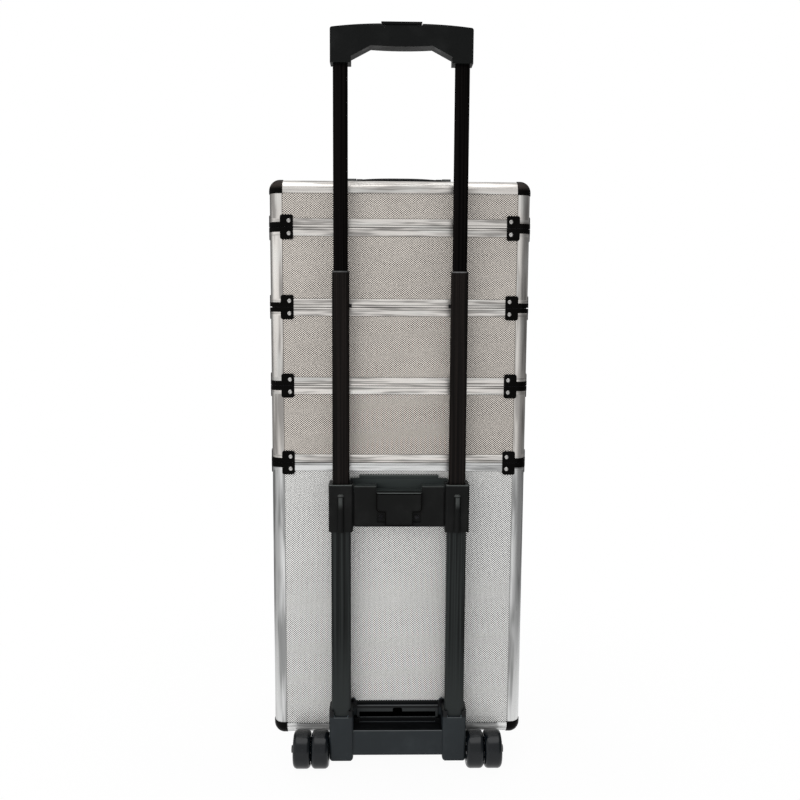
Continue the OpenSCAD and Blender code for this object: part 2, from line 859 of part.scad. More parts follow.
// Base with the columns that carry the tubes' feet and the axles
module base_frame() color(black) place() difference() {
    front = -half_d - sleeve_d;
    plate_y = -half_d - base_plate_t;
    hollow = tube_x - column_w / 2 - hollow_wall;
    union() {
        for (s = [-1, 1]) translate([s * tube_x, -half_d, 0]) intersection() {
            translate([0, -sleeve_d / 2, column_bottom]) linear_extrude(column_top - column_bottom)
                rounded(column_w, sleeve_d, column_r);
            // Round lower corners
            translate([0, 1, column_bottom]) rotate([90, 0, 0]) linear_extrude(sleeve_d + 2)
                upright_2d(column_w, 2 * (column_top - column_bottom), column_corner);
        }
        translate([-tube_x, front + bar_in, bar_bottom])
            cube([2 * tube_x, sleeve_d - bar_in, bar_top - bar_bottom]);
        // Plate along the case's back, with a ledge and two lugs at its foot
        translate([-base_plate_w / 2, plate_y, bar_bottom])
            cube([base_plate_w, base_plate_t, base_plate_top - bar_bottom]);
        translate([-ledge_w / 2, plate_y - ledge_out, bar_bottom])
            cube([ledge_w, ledge_out + 1, ledge_top - bar_bottom]);
        both() translate([ledge_w / 2, plate_y - ledge_out, bar_bottom])
            cube([lug_size[0], ledge_out + base_plate_t, lug_size[1] - bar_bottom]);
        // Pad that seats on the case's back panel
        translate([-tube_x - column_w / 2 + column_r, -half_d - eps, level[0] + post_w])
            cube([2 * (tube_x - column_r) + column_w, panel_inset + eps, column_top - level[0] - post_w]);
        both() translate([boss_x, -half_d, boss_z]) rotate([90, 0, 0]) cylinder(d = boss_d, h = boss_t);
        both() translate([boss_x - boss_d / 2, -half_d - boss_t, boss_z - boss_foot])
            cube([boss_d, boss_t, boss_foot]);
    }
    // Hollow on the case's side
    translate([-hollow, front + bar_in + bar_t, bar_bottom - 1])
        cube([2 * hollow, sleeve_d - bar_in - bar_t - base_plate_t, bar_hollow_h]);
    // Slot across the plate, with an arch over its middle
    translate([-base_plate_w / 2 + slot_edge, plate_y - 1, slot_z])
        cube([base_plate_w - 2 * slot_edge, slot_in + 1, slot_h]);
    translate([0, plate_y + slot_in, slot_z]) rotate([90, 0, 0]) linear_extrude(slot_in + 1)
        upright_2d(arch[0], slot_h + arch[1], scoop_r);
    // Scooped collars behind the tubes
    for (s = [-1, 1]) translate([s * tube_x, front + scoop_in, column_top - scoop[1]]) rotate([90, 0, 0])
        linear_extrude(scoop_in + 1) upright_2d(scoop[0], 2 * scoop[1], scoop_r);
    at_tubes() translate([0, 0, outer_bottom]) linear_extrude(column_top) tube_2d(outer_size);
    both() axle_shape();
    base_screw_shape();
}

module base_screw_shape() both() translate([boss_x, -half_d, boss_z]) rotate([90, 0, 0]) {
    cylinder(d = screw_d, h = boss_t);
    translate([0, 0, boss_t - screw_head_h + screw_head_up]) cylinder(d = screw_head_d, h = screw_head_h);
}

// Screws in the base's bosses, and the heads in the bracket's recesses
module trolley_screws() color(steel) place() {
    base_screw_shape();
    both() translate([(tee_narrow + recess[0]) / 2, -half_d - sleeve_d + web_in + recess_in, tee_step - recess[1] / 2])
        rotate([90, 0, 0]) cylinder(d = recess_screw_d, h = recess_screw_h);
}

// Axles and wheels
module axle_shape() {
    start = tube_x - column_w / 2 + axle_in;
    translate([start, -half_d - axle_back, axle_z]) rotate([0, 90, 0]) {
        cylinder(d = axle_d, h = axle_end - start);
        translate([0, 0, axle_end - start - eps]) cylinder(d = axle_cap[0], h = axle_cap[1]);
    }
}

module right_axle() color(steel) place() axle_shape();
module left_axle() color(steel) place() mirror([1, 0, 0]) axle_shape();

// Wheel with a flat tread, round shoulders and dished sides, its inner side at x
module wheel(x) translate([x, -half_d - axle_back, axle_z]) rotate([0, 90, 0]) rotate_extrude($fn = 64)
    difference() {
        core = wheel_d / 2 - shoulder;
        union() {
            translate([axle_d / 2 + wheel_clear, 0]) square([core - axle_d / 2 - wheel_clear, wheel_w]);
            translate([core - eps, shoulder]) square([shoulder + eps, tread_w]);
            for (y = [shoulder, wheel_w - shoulder]) translate([core, y]) circle(shoulder);
        }
        translate([dish[0], -1]) square([dish[1], dish[2] + 1]);
        translate([dish[0], wheel_w - dish[2]]) square([dish[1], dish[2] + 1]);
    }

module right_inner_wheel() color(black) place() wheel(inner_wheel_x);
module right_outer_wheel() color(black) place() wheel(outer_wheel_x);
module left_inner_wheel() color(black) place() mirror([1, 0, 0]) wheel(inner_wheel_x);
module left_outer_wheel() color(black) place() mirror([1, 0, 0]) wheel(outer_wheel_x);

// Front feet, which keep the case level with the wheels
module foot() translate([half_w - foot_side, half_d - foot_front, 0]) {
    neck = foot_w - 2 * foot_step;
    linear_extrude(foot_base) rounded(foot_w, foot_w, foot_r);
    translate([0, 0, foot_base - eps]) linear_extrude(case_z - foot_base + panel_inset + eps)
        rounded(neck, neck, foot_neck_r);
}

module right_front_foot() color(black) place() foot();
module left_front_foot() color(black) place() mirror([1, 0, 0]) foot();

// Carry handle, lying flat on the lid at rest
bail_z = level[5] + bail_pin_z;

module carry_handle_mounts() color(black) place() both() translate([bail_w / 2 + mount_gap, -bail_l, 0])
    difference() {
        union() {
            translate([0, -mount_foot[0] / 2, level[5] - panel_inset])
                cube([mount_w, mount_foot[0], mount_foot[1] + panel_inset]);
            translate([0, -mount_eye / 2, level[5]]) cube([mount_w, mount_eye, bail_pin_z]);
            translate([0, 0, bail_z]) rotate([0, 90, 0]) cylinder(d = mount_eye, h = mount_w);
        }
        translate([-1, 0, bail_z]) rotate([0, 90, 0])
            cylinder(d = bail_pin_d + 2 * pin_clear, h = mount_w - mount_wall + 1);
    }

module carry_handle() color(black) place() {
    both() translate([bail_w / 2 - arm_w, -bail_l, bail_z]) {
        rotate([0, 90, 0]) cylinder(d = arm_d, h = arm_w);
        rotate([0, 90, 0]) cylinder(d = bail_pin_d, h = arm_w + mount_gap + mount_w - 2 * mount_wall);
        translate([0, 0, -arm_low]) cube([arm_w, bail_l, arm_h]);
    }
    // Bar with a gently arched top
    intersection() {
        translate([-bail_w / 2, 0, level[5] + bail_up + bail_bar[1] / 2]) rotate([0, 90, 0]) rotate([0, 0, 90])
            linear_extrude(bail_w) rounded(bail_bar[0], bail_bar[1], bail_r);
        translate([0, bail_bar[0], level[5] + bail_up + bail_bar[1] - bail_arch]) rotate([90, 0, 0])
            cylinder(r = bail_arch, h = 2 * bail_bar[0], $fn = 200);
    }
}

lid_panels();
lid_top();
lid_frame();
lid_corners();
lid_rivets();
lid_strikes();
tier_panels(3);  // top_case_panels
tier_floor(3);  // top_case_floor
tier_frame(3);  // top_case_frame
tier_corners(3);  // top_case_corners
tier_rivets(3);  // top_case_rivets
tier_latch_plates(3);  // top_case_latch_plates
tier_panels(2);  // upper_middle_panels
tier_floor(2);  // upper_middle_floor
tier_frame(2);  // upper_middle_frame
tier_corners(2);  // upper_middle_corners
tier_rivets(2);  // upper_middle_rivets
tier_latch_plates(2);  // upper_middle_latch_plates
tier_panels(1);  // lower_middle_panels
tier_floor(1);  // lower_middle_floor
tier_frame(1);  // lower_middle_frame
tier_corners(1);  // lower_middle_corners
tier_rivets(1);  // lower_middle_rivets
tier_latch_plates(1);  // lower_middle_latch_plates
bottom_case_panels();
bottom_case_floor();
bottom_case_frame();
bottom_case_corners();
bottom_case_rivets();
bottom_case_latch_plates();
left_hasp(1);  // left_hasp_1
left_hasp(2);  // left_hasp_2
left_hasp(3);  // left_hasp_3
left_hasp(4);  // left_hasp_4
right_hasp(1);  // right_hasp_1
right_hasp(2);  // right_hasp_2
right_hasp(3);  // right_hasp_3
right_hasp(4);  // right_hasp_4
base_frame();
tube_bracket();
outer_tubes();
middle_tubes();
tube_collars();
lock_pins();
inner_tubes();
grip();
release_button();
push_rods();
trolley_screws();
left_axle();
right_axle();
left_outer_wheel();
left_inner_wheel();
right_inner_wheel();
right_outer_wheel();
left_front_foot();
right_front_foot();
carry_handle_mounts();
carry_handle();
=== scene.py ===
"""Looks of the rolling makeup case: materials, small pieces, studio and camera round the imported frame."""
import math
from collections import namedtuple

import bmesh
import bpy
from mathutils import Matrix, Vector


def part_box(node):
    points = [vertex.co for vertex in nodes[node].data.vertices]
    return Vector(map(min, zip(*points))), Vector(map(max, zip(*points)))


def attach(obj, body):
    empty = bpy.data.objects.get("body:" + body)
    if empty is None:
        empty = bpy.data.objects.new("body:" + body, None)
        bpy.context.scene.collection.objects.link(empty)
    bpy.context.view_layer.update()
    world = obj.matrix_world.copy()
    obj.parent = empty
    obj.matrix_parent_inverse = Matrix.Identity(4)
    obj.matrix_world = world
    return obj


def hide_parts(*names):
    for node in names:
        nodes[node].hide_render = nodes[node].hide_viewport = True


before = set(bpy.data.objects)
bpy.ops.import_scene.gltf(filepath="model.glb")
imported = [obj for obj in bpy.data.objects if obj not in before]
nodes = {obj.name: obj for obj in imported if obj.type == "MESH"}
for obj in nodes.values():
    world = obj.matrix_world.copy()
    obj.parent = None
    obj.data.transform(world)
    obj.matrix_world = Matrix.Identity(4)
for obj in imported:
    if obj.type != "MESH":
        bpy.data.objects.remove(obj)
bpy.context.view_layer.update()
scene = bpy.context.scene

# Names that several parts of this file share
SHELLS = ("bottom_case", "lower_middle", "upper_middle", "top_case", "lid")
BODY_OF = {
    "bottom_case": "bottom_case", "lower_middle": "lower_middle_case",
    "upper_middle": "upper_middle_case", "top_case": "top_case", "lid": "lid",
}
WHEELS = ("left_outer_wheel", "left_inner_wheel", "right_inner_wheel", "right_outer_wheel")

# Shared places, in metres: the case's outline, and the height of its rails and width of its posts
CASE_LOW, CASE_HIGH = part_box("bottom_case_frame")
BACK_Y = CASE_LOW.y
MID_Y = (CASE_LOW.y + CASE_HIGH.y) / 2
HALF_W = CASE_HIGH.x
HALF_D = (CASE_HIGH.y - CASE_LOW.y) / 2
RAIL_H = 0.011
POST_W = 0.017


class Graph:
    """A node tree built in small chains. A value is a number or the socket that carries it."""

    def __init__(self, tree):
        self.tree = tree
        tree.nodes.clear()

    def node(self, kind, **settings):
        made = self.tree.nodes.new(kind)
        for setting, value in settings.items():
            setattr(made, setting, value)
        return made

    def feed(self, node, socket, value):
        if isinstance(value, bpy.types.NodeSocket):
            self.tree.links.new(value, node.inputs[socket])
        else:
            node.inputs[socket].default_value = value

    def split(self, vector):
        node = self.node("ShaderNodeSeparateXYZ")
        self.feed(node, 0, vector)
        return node.outputs

    def math(self, operation, *values):
        node = self.node("ShaderNodeMath", operation=operation)
        for index, value in enumerate(values):
            self.feed(node, index, value)
        return node.outputs[0]

    def chain(self, operation, first, *others):
        for value in others:
            first = self.math(operation, first, value)
        return first

    def add(self, *values):
        return self.chain("ADD", *values)

    def multiply(self, *values):
        return self.chain("MULTIPLY", *values)

    def highest(self, *values):
        return self.chain("MAXIMUM", *values)

    def subtract(self, first, second):
        return self.math("SUBTRACT", first, second)

    def absolute(self, value):
        return self.math("ABSOLUTE", value)

    def above(self, value, limit):
        return self.math("GREATER_THAN", value, limit)

    def below(self, value, limit):
        return self.math("LESS_THAN", value, limit)

    def blend(self, share, first, second):
        """The first number where the share is 0, and the second where it is 1."""
        return self.add(self.multiply(first, self.subtract(1.0, share)), self.multiply(second, share))

    def ramp(self, value, low, high, low_out=0.0, high_out=1.0):
        """Eases from low_out to high_out while the value goes from low to high."""
        node = self.node("ShaderNodeMapRange", interpolation_type="SMOOTHSTEP")
        for index, number in enumerate((value, low, high, low_out, high_out)):
            self.feed(node, index, number)
        return node.outputs[0]

    def switch(self, factor, first, second):
        """The first number where the factor is 0, and the second where it is 1, as one node."""
        node = self.node("ShaderNodeMix")
        for index, value in ((0, factor), (2, first), (3, second)):
            self.feed(node, index, value)
        return node.outputs[0]


class Shader(Graph):
    """A Principled material, with each point's place and normal at hand."""

    def __init__(self, name, colour, metallic=0.0, roughness=0.5, specular=0.5):
        self.mat = bpy.data.materials.new(name)
        self.mat.use_nodes = True
        self.mat.diffuse_color = (*colour, 1)
        super().__init__(self.mat.node_tree)
        out = self.node("ShaderNodeOutputMaterial")
        self.bsdf = self.node("ShaderNodeBsdfPrincipled")
        self.feed(out, "Surface", self.bsdf.outputs[0])
        self.set("Base Color", (*colour, 1))
        self.set("Metallic", metallic)
        self.set("Roughness", roughness)
        self.set("Specular IOR Level", specular)
        coords = self.node("ShaderNodeTexCoord")
        self.place = coords.outputs["Object"]
        self.x, self.y, self.z = self.split(self.place)
        self.nx, self.ny, self.nz = self.split(coords.outputs["Normal"])
        self.bumped = None

    def set(self, socket, value):
        self.feed(self.bsdf, socket, value)

    def stretched(self, along_x, along_y, along_z):
        """The place, stretched so that a noise of scale 1 repeats that often in a metre."""
        node = self.node("ShaderNodeVectorMath", operation="MULTIPLY")
        self.feed(node, 0, self.place)
        self.feed(node, 1, (along_x, along_y, along_z))
        return node.outputs[0]

    def noise(self, vector, scale=1.0, detail=2.0, rough=0.5):
        node = self.node("ShaderNodeTexNoise")
        for socket, value in (("Vector", vector), ("Scale", scale), ("Detail", detail), ("Roughness", rough)):
            self.feed(node, socket, value)
        return node.outputs["Fac"]

    def mix(self, factor, first, second):
        """Mixes two colours, each a socket or three numbers."""
        node = self.node("ShaderNodeMix", data_type="RGBA")
        self.feed(node, 0, factor)
        for index, value in ((6, first), (7, second)):
            self.feed(node, index, value if isinstance(value, bpy.types.NodeSocket) else (*value, 1))
        return node.outputs[2]

    def bump(self, height, distance, strength):
        """Adds relief over what earlier calls have added."""
        node = self.node("ShaderNodeBump")
        for socket, value in (("Strength", strength), ("Distance", distance), ("Height", height)):
            self.feed(node, socket, value)
        if self.bumped:
            self.feed(node, "Normal", self.bumped)
        self.bumped = node.outputs[0]
        self.set("Normal", self.bumped)


def times(colour, factor, lift=0.0, most=1.0):
    """The colour made brighter or darker by a factor."""
    return [min(part * factor + lift, most) for part in colour]


# Panels

# Width and height of the embossed diamonds
DIAMOND_W = 0.0034
DIAMOND_H = 0.0028
PANEL_METAL = 0.5
LINING_BLACK = (0.018, 0.018, 0.02)
# Painted shade where the sheet goes under its frame: it darkens between these two places before the frame's
# edge
SHADE_RIM_FROM = -0.0015
SHADE_RIM_TO = -0.0006


def panel_material(name, light, dark, cut, low, high, inside=-1.0):
    """Silver sheet embossed all over with a fine lattice of diamonds; its inner face is black lining.

    The sheet shows from the level low to the level high. Over the diamonds' wave its colour goes from dark to
    light between the two values of cut. Edges that look up count as inside, or with inside=1 what looks down.
    """
    s = Shader(name, light, metallic=PANEL_METAL, roughness=0.4)
    across = s.absolute(s.nx)
    flat = s.absolute(s.nz)
    along_y = s.subtract(s.y, MID_Y)
    # Along the wall, and up it or, on the lid's top, over it
    u = s.blend(across, s.x, s.y)
    v = s.blend(flat, s.z, s.y)
    wave = s.multiply(s.math("COSINE", s.multiply(u, 2 * math.pi / DIAMOND_W)),
                      s.math("COSINE", s.multiply(v, 2 * math.pi / DIAMOND_H)))
    dots = s.ramp(wave, *cut)
    cloud = s.noise(s.place, scale=9.0, detail=3.0, rough=0.6)
    fine = s.noise(s.place, scale=900.0, detail=1.0)
    # Parts where the embossing is worn or catches less light
    worn = s.mix(s.ramp(cloud, 0.42, 0.7), dark, times(light, 0.12))
    shade = s.mix(dots, worn, light)
    # Painted shade: a dark line where the sheet goes under its frame
    edge_x = s.subtract(s.absolute(s.x), HALF_W - POST_W)
    edge_y = s.subtract(s.absolute(along_y), HALF_D - POST_W)
    edge_z = s.highest(s.subtract(low, s.z), s.subtract(s.z, high))
    edge = s.highest(s.blend(across, edge_x, edge_y), s.blend(flat, edge_z, edge_y))
    shade = s.mix(s.multiply(s.ramp(edge, SHADE_RIM_FROM, SHADE_RIM_TO), 0.4), shade, (0.03, 0.03, 0.03))
    # Faces that look towards the middle of the shell
    facing = s.add(s.multiply(s.nx, s.x), s.multiply(s.ny, along_y), s.multiply(s.nz, inside))
    hidden = s.below(facing, -0.01)
    s.set("Base Color", s.mix(hidden, shade, LINING_BLACK))
    s.set("Metallic", s.multiply(s.subtract(1.0, hidden), PANEL_METAL))
    s.set("Roughness", s.add(s.ramp(cloud, 0.3, 0.75, 0.34, 0.44), s.multiply(hidden, 0.3)))
    s.bump(s.add(dots, s.multiply(fine, 0.12)), distance=0.0003, strength=0.6)
    return s.mat


# Aluminium

# Height of the scored line over or under a joint, and the half height of the open line at the joint
SCORE_UP = 0.00315
JOINT_HALF = 0.0007
# Colours of the painted shade in the scored line and inside the open line at a joint
SCORE_SHADE = (0.05, 0.05, 0.048)
JOINT_SHADE = (0.008, 0.008, 0.008)
# Height over which the matt foot turns into satin
FOOT_FADE = 0.004


def aluminium_material(name, low, high, low_band, high_band, tint, joints, foot=0.0):
    """Satin extrusion with fine drawing lines; joints are the levels at which a rail meets the next shell's.

    Posts lie between the bands at the levels low and high, and rails in the bands. Below the level foot the
    surface is matt, as an edge profile is that scuffs along the ground.
    """
    s = Shader(name, tint, metallic=1.0, roughness=0.3)
    reach_x = s.absolute(s.x)
    reach_y = s.absolute(s.subtract(s.y, MID_Y))
    post = s.multiply(s.above(reach_x, HALF_W - POST_W), s.above(reach_y, HALF_D - POST_W),
                      s.above(s.z, low + low_band), s.below(s.z, high - high_band))
    # Each noise is drawn out along the rails, and upward on the posts
    lines = s.blend(post, s.noise(s.stretched(14, 14, 1500), detail=3.0, rough=0.6),
                    s.noise(s.stretched(900, 900, 12), detail=3.0, rough=0.6))
    smear = s.blend(post, s.noise(s.stretched(15, 15, 300), detail=2.0, rough=0.6),
                    s.noise(s.stretched(120, 120, 9), detail=2.0, rough=0.5))
    blots = s.blend(post, s.noise(s.stretched(11, 11, 150), detail=1.0, rough=0.5),
                    s.noise(s.stretched(60, 60, 14), detail=1.0, rough=0.5))
    colour = s.mix(s.ramp(smear, 0.34, 0.6), times(tint, 0.52), times(tint, 1.12, most=0.97))
    colour = s.mix(s.ramp(blots, 0.5, 0.72, 0.0, 0.6), colour, times(tint, 1.2, most=0.98))
    # Painted shade in a scored line near each joint, and on the inside of the open line between two rails
    depth = s.math("MINIMUM", s.subtract(HALF_W, reach_x), s.subtract(HALF_D, reach_y))
    inner = s.above(depth, 0.0003)
    for level in joints:
        away = s.absolute(s.subtract(s.z, level))
        score = s.ramp(s.absolute(s.subtract(away, SCORE_UP)), 0.0003, 0.0008, 0.6, 0.0)
        colour = s.mix(score, colour, SCORE_SHADE)
        colour = s.mix(s.multiply(inner, s.below(away, JOINT_HALF)), colour, JOINT_SHADE)
    s.set("Base Color", colour)
    s.set("Roughness", s.ramp(smear, 0.25, 0.75, 0.42, 0.24))
    if foot:
        s.set("Metallic", s.ramp(s.z, foot - FOOT_FADE, foot, 0.45, 1.0))
    s.bump(lines, distance=0.00004, strength=0.5)
    s.bump(s.noise(s.place, scale=60.0, detail=2.0), distance=0.0004, strength=0.12)
    return s.mat


# Mouldings

# A place on a moulding painted in another colour, for painted highlight lines, painted shade and paler faces:
# how far it lies from the middle (or x itself, where the first is under zero), how far it stands out from the
# case's back, its heights, and how softly it starts
Patch = namedtuple("Patch", "aside out up colour soft", defaults=(0.0,))
# Colour of the painted shade in the hollows, which are also made to show no gloss
HOLLOW_SHADE = (0.0006, 0.0006, 0.0006)


def plastic_material(name, colour, rough, specular, highlight_factor=1.0, patches=(), grain=1500.0):
    """Moulded plastic: fine grain, slightly uneven gloss and paler rubbed places.

    Edges that face up get a painted highlight, their colour raised by a factor, and patches hold painted
    highlight lines, painted shade in hollows and paler faces.
    """
    s = Shader(name, colour, roughness=rough, specular=specular)
    cloud = s.noise(s.place, scale=28.0, detail=4.0, rough=0.6)
    grains = s.noise(s.place, scale=grain, detail=2.0, rough=0.6)
    shade = s.mix(s.ramp(cloud, 0.45, 0.8), colour, times(colour, 1.35, lift=0.002))
    reach = s.absolute(s.x)
    out = s.subtract(BACK_Y, s.y)
    hollows = []
    for patch in patches:
        inside = s.ramp(s.z, patch.up[0], patch.up[0] + patch.soft) if patch.soft else 1.0
        across = s.x if patch.aside[0] < 0 else reach
        for value, (low, high) in ((across, patch.aside), (out, patch.out), (s.z, patch.up)):
            inside = s.multiply(inside, s.above(value, low), s.below(value, high))
        shade = s.mix(inside, shade, patch.colour)
        if patch.colour == HOLLOW_SHADE:
            hollows.append(inside)
    # Painted highlight on edges that face up
    if highlight_factor > 1.0:
        upper = s.multiply(s.ramp(s.nz, 0.1, 0.5), s.ramp(s.nz, 0.8, 0.96, 1.0, 0.0))
        shade = s.mix(upper, shade, times(colour, highlight_factor))
    s.set("Base Color", shade)
    # Painted shade: hollows turn metallic with their near-black colour, so that they show no gloss
    if hollows:
        s.set("Metallic", s.highest(*hollows))
    s.set("Roughness", s.ramp(cloud, 0.25, 0.75, rough + 0.06, rough - 0.05))
    s.bump(grains, distance=0.00005, strength=0.5)
    return s.mat


# How far a patch reaches before and behind its face
NEAR = 0.0006
# How far it ends from a face that it takes in or leaves out
SPARE = 0.0005
# How far a line reaches over its edge, and how wide a strip at the front of a top stays out of the shade
OVER_EDGE = 0.0001
TOP_STRIP = 0.0008
# Start of a patch that takes in all that lies behind a face
BEHIND = -0.01


def on_face(out):
    return out - NEAR, out + NEAR


def edge_line(aside, out, top, height, colour):
    """A painted highlight line under an edge at the level top, on a face that stands out by out."""
    return Patch(aside, on_face(out), (top - height, top + OVER_EDGE), colour)


# Half widths of an outer tube and of the sleeve round it
TUBE_HALF = 0.013
SLEEVE_HALF = 0.016
# Middle of a tube, and the inner, outer and front faces of its sleeve
TUBE_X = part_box("outer_tubes")[1].x - TUBE_HALF
SLEEVE_IN = TUBE_X - SLEEVE_HALF
SLEEVE_SIDE = TUBE_X + SLEEVE_HALF
SLEEVE_OUT = 0.033

# Base: half widths, faces and levels of its back plate with the slot, its ledge and its bar
PLATE_HALF = 0.056
PLATE_OUT = 0.005
PLATE_TOP = 0.0824
SLOT_HALF = 0.053
SLOT_FOOT = 0.0654
SLOT_TOP = 0.0795
LEDGE_HALF = 0.0525
LEDGE_OUT = 0.0075
LEDGE_TOP = 0.0597
BAR_OUT = 0.03
BAR_TOP = 0.0578
# Level of the scoops in the columns, and their two sides
SCOOP_FOOT = 0.0777
SCOOP_SIDES = (TUBE_X - 0.01, TUBE_X + 0.01)
# Level from which the painted shade behind the bar starts
SHADE_FOOT = 0.0565
# A level near the base's top, and a width and a depth past all of it
BASE_OVER = 0.09
BASE_SIDE = 0.11
BASE_FRONT = 0.04
PLATE_GREY = (0.024, 0.027, 0.028)
# Colours of the painted shade behind the bar and on the ears of the columns
SHADED = (0.0016, 0.002, 0.0024)
EAR_SHADE = (0.003, 0.0035, 0.004)
BASE_PATCHES = (
    Patch((0, PLATE_HALF + SPARE), (BEHIND, PLATE_OUT + NEAR), (SLOT_FOOT, BASE_OVER), PLATE_GREY),
    # Painted shade behind the bar, in the slot and on the ears of the columns
    Patch((0, SLEEVE_IN - SPARE), (BEHIND, BAR_OUT - TOP_STRIP), (SHADE_FOOT, SLOT_FOOT), SHADED),
    Patch((0, SLOT_HALF + 2 * SPARE), (BEHIND, PLATE_OUT - NEAR), (SLOT_FOOT - NEAR, SLOT_TOP), HOLLOW_SHADE),
    Patch((0, BASE_SIDE), (BEHIND, BASE_FRONT), (SCOOP_FOOT, BASE_OVER), EAR_SHADE),
    # Painted highlight lines under the top edges of the plate, the slot's foot, the ledge, the bar and the
    # scoops
    edge_line((0, PLATE_HALF), PLATE_OUT, PLATE_TOP, 0.0012, (0.07, 0.075, 0.078)),
    edge_line((0, SLOT_HALF), PLATE_OUT, SLOT_FOOT, 0.001, (0.045, 0.05, 0.052)),
    edge_line((0, LEDGE_HALF), LEDGE_OUT, LEDGE_TOP, 0.0011, (0.03, 0.034, 0.036)),
    edge_line((0, SLEEVE_IN - SPARE), BAR_OUT, BAR_TOP, 0.0011, (0.08, 0.088, 0.092)),
    edge_line(SCOOP_SIDES, SLEEVE_OUT, SCOOP_FOOT, 0.0011, (0.06, 0.066, 0.07)),
)

# Bracket: faces, half widths and levels of its back plate, ears, web, raised T and ribs
BRACKET_LOW, BRACKET_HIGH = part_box("tube_bracket")
BACK_PLATE_OUT = 0.004
BACK_PLATE_HALF = 0.0535
EAR_OUT = 0.006
EAR_HALF = 0.065
WEB_OUT = 0.029
TEE_OUT = 0.032
TEE_HALF = 0.0305
STEM_HALF = 0.0185
TEE_CUT = 0.004
SLEEVE_TOP = BRACKET_HIGH.z - 0.008
WEB_TOP = SLEEVE_TOP - 0.0025
TEE_TOP = SLEEVE_TOP - 0.0105
TEE_STEP = BRACKET_LOW.z + 0.0267
TEE_FOOT = BRACKET_LOW.z + 0.0087
# Painted highlight on the upper end of the ribs: its two sides, its reach past the sleeve's face, its top,
# height and soft start
RIB_SIDES = (TUBE_X - 0.0024, TUBE_X + 0.0028)
RIB_REACH = (SLEEVE_OUT + 0.001, SLEEVE_OUT + 0.007)
RIB_TOP = SLEEVE_TOP - 0.0165
RIB_HIGHLIGHT = 0.0165
RIB_SOFT = 0.011
# Levels under and over all of the back plate that shows
BACK_UNDER = 0.38
BRACKET_OVER = 0.42
# How far down the painted highlight line at the T's top and the painted shade of the groove under it reach
TEE_LINE = 0.0012
TEE_GROOVE = 0.0025
# Widths of the painted highlight lines at the T's foot and left edge
TEE_FOOT_LINE = 0.0011
TEE_LEFT_LINE = 0.001
# Painted light: the back plate and the tops in front of it, made paler for the light from above
BACK_PLATE_PAINTED_LIGHT = (0.028, 0.0335, 0.033)
# Colour of the painted highlight lines on the bracket's edges
EDGE_HIGHLIGHT = (0.075, 0.082, 0.08)
BRACKET_PATCHES = (
    # Painted light on the back plate with its ears, and on the tops behind the web's front
    Patch((0, EAR_HALF + SPARE), (BEHIND, EAR_OUT + SPARE), (BACK_UNDER, BRACKET_OVER), BACK_PLATE_PAINTED_LIGHT),
    Patch((0, SLEEVE_IN - SPARE), (BEHIND, WEB_OUT - TOP_STRIP), (TEE_TOP - SPARE, BRACKET_OVER),
          BACK_PLATE_PAINTED_LIGHT),
    # Painted highlight lines under the top edges of the back plate, the sleeves, the web and the T
    edge_line((0, BACK_PLATE_HALF), BACK_PLATE_OUT, BRACKET_HIGH.z, 0.0012, EDGE_HIGHLIGHT),
    edge_line((SLEEVE_IN + SPARE, SLEEVE_SIDE), SLEEVE_OUT, SLEEVE_TOP, 0.0012, EDGE_HIGHLIGHT),
    edge_line((TEE_HALF, SLEEVE_IN + SPARE), WEB_OUT, WEB_TOP, 0.0009, (0.05, 0.055, 0.053)),
    edge_line((0, TEE_HALF), TEE_OUT, TEE_TOP, TEE_LINE, EDGE_HIGHLIGHT),
    # Painted shade in the groove under the T's top line, and painted highlights on its foot, its left edge
    # and the upper end of the ribs
    Patch((0, TEE_HALF), on_face(TEE_OUT), (TEE_TOP - TEE_GROOVE, TEE_TOP - TEE_LINE), HOLLOW_SHADE),
    Patch((0, STEM_HALF), on_face(TEE_OUT), (TEE_FOOT, TEE_FOOT + TEE_FOOT_LINE), (0.03, 0.033, 0.032)),
    Patch((-TEE_HALF, -TEE_HALF + TEE_LEFT_LINE), on_face(TEE_OUT), (TEE_STEP, TEE_TOP - TEE_GROOVE),
          (0.025, 0.027, 0.027)),
    Patch(RIB_SIDES, RIB_REACH, (RIB_TOP - RIB_HIGHLIGHT, RIB_TOP), (0.045, 0.049, 0.048), RIB_SOFT),
)

# Grip: painted shade of a slot in each slope of its underside, which starts a little behind its face
GRIP_OUT = BACK_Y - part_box("grip")[0].y
GRIP_SLOT = (GRIP_OUT - 0.009, GRIP_OUT - 0.0012)
GRIP_PATCHES = (
    Patch(aside=(0.0415, 0.0495), out=GRIP_SLOT, up=(0.94, 0.9545), colour=HOLLOW_SHADE),
)


# Tubes, steel, rubber and lining

def tube_material(name, colour, specular):
    """Coated steel tube with faint lines along its length, paler near its foot."""
    s = Shader(name, colour, roughness=0.36, specular=specular)
    lines = s.noise(s.stretched(1400, 1400, 5), detail=3.0, rough=0.6)
    streaks = s.noise(s.stretched(420, 420, 3), detail=2.0, rough=0.6)
    shade = s.mix(s.ramp(streaks, 0.35, 0.65), times(colour, 0.45), times(colour, 1.7))
    s.set("Base Color", s.mix(s.ramp(s.z, 0.08, 0.22), times(colour, 1.9), shade))
    s.set("Roughness", s.ramp(lines, 0.25, 0.75, 0.4, 0.32))
    s.bump(lines, distance=0.00003, strength=0.4)
    return s.mat


